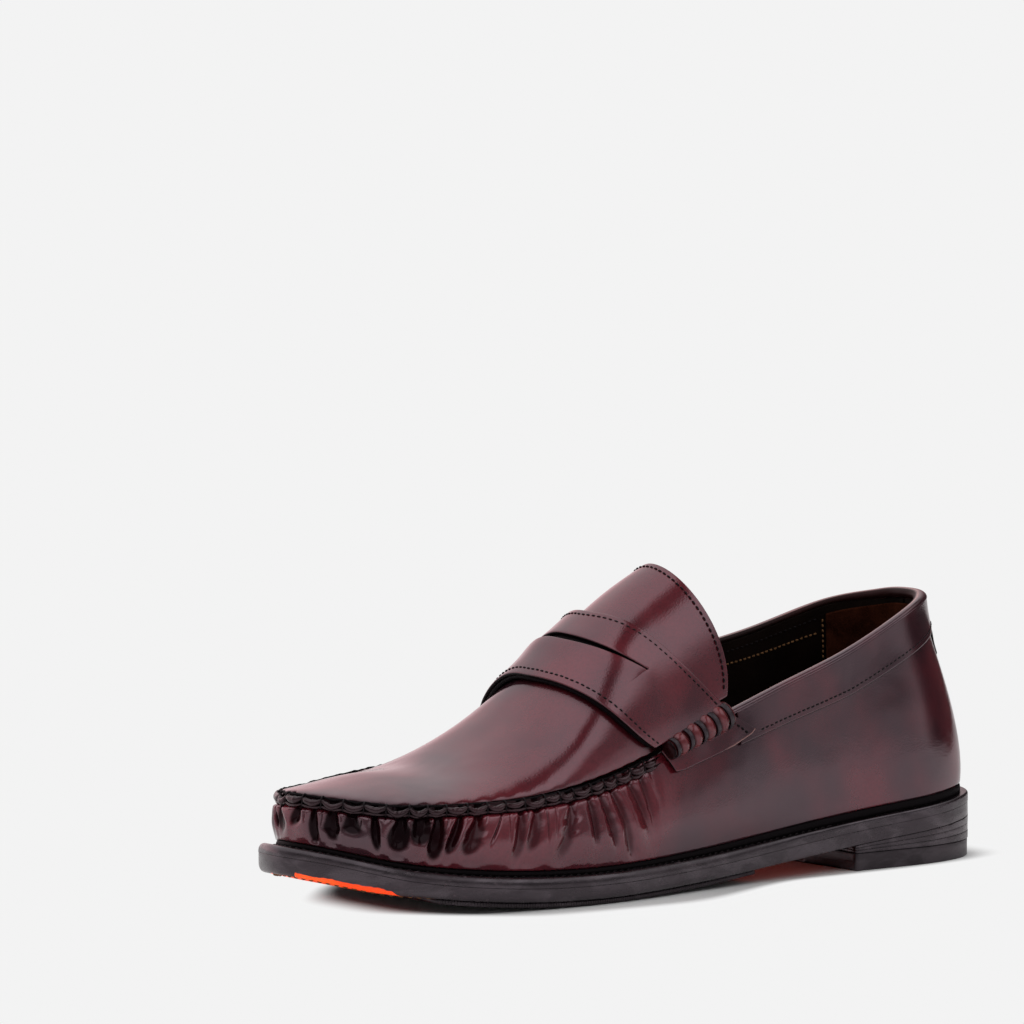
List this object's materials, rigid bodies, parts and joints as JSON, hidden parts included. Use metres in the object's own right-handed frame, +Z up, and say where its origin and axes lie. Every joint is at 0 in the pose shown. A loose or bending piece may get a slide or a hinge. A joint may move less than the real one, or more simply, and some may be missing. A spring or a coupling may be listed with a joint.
{
  "type": "penny loafer",
  "caption": "Left penny loafer in polished leather: moccasin apron, slotted saddle strap, beef rolls, soft tongue, welted sole and stacked heel.",
  "frame": {"origin": "on the ground at the middle of the heel's top piece", "axes": "toe along -X, back of the heel along +X, outer side of the foot along -Y, +Z up"},
  "size_m": [0.2995, 0.105, 0.1121],
  "materials": {
    "oxblood_leather": "polished brush-off leather",
    "roll_leather": "glossy red-brown leather",
    "black_edge_leather": "burnished and waxed black edge",
    "sole_leather": "orange-red finished sole leather",
    "rubber_black": "moulded black rubber",
    "lining_leather": "dark brown lining leather",
    "suede_grip": "brown suede",
    "thread_black": "waxed black thread",
    "thread_tan": "tan thread",
    "nail_steel": "plain steel",
    "board_fibre": "pressed fibre board",
    "cork": "granulated cork"
  },
  "bodies": {
    "root": {"heel_top_piece": "rubber_black", "heel_nails": "nail_steel", "heel_lift_1": "black_edge_leather", "heel_lift_2": "black_edge_leather", "heel_lift_3": "black_edge_leather", "outsole": "sole_leather", "forefoot_tread": "rubber_black", "welt": "black_edge_leather", "welt_stitching": "thread_black", "rand": "black_edge_leather", "cork_filler": "cork", "shank": "nail_steel", "insole_board": "board_fibre", "sock_lining": "lining_leather", "heel_pad": "lining_leather", "vamp_wall": "oxblood_leather", "heel_counter": "board_fibre", "toe_puff": "board_fibre", "apron": "oxblood_leather", "apron_stitching": "thread_black", "saddle_strap": "oxblood_leather", "strap_backing": "black_edge_leather", "strap_stitching": "thread_black", "strap_tab_lateral": "oxblood_leather", "strap_tab_medial": "oxblood_leather", "beef_roll_lateral": "roll_leather", "beef_roll_medial": "roll_leather", "roll_wraps_lateral": "thread_black", "roll_wraps_medial": "thread_black", "tongue_root": "oxblood_leather", "collar_band_lateral": "oxblood_leather", "collar_band_medial": "oxblood_leather", "collar_stitching": "thread_black", "topline_binding": "oxblood_leather", "heel_tab": "black_edge_leather", "vamp_lining": "lining_leather", "toe_wall_lining": "lining_leather", "quarter_lining_lateral": "lining_leather", "quarter_lining_medial": "lining_leather", "heel_grip": "suede_grip", "lining_stitching": "thread_tan"},
    "tongue": {"tongue_flap": "oxblood_leather", "tongue_lining": "lining_leather", "tongue_stitching": "thread_black"}
  },
  "joints": [
    {"name": "tongue_flex", "type": "hinge", "parent": "root", "child": "tongue", "pos_m": [-0.131, 0, 0.095], "axis": [0, -1, 0], "range_deg": [0, 20], "stiffness_Nm_per_rad": 0.3}
  ]
}
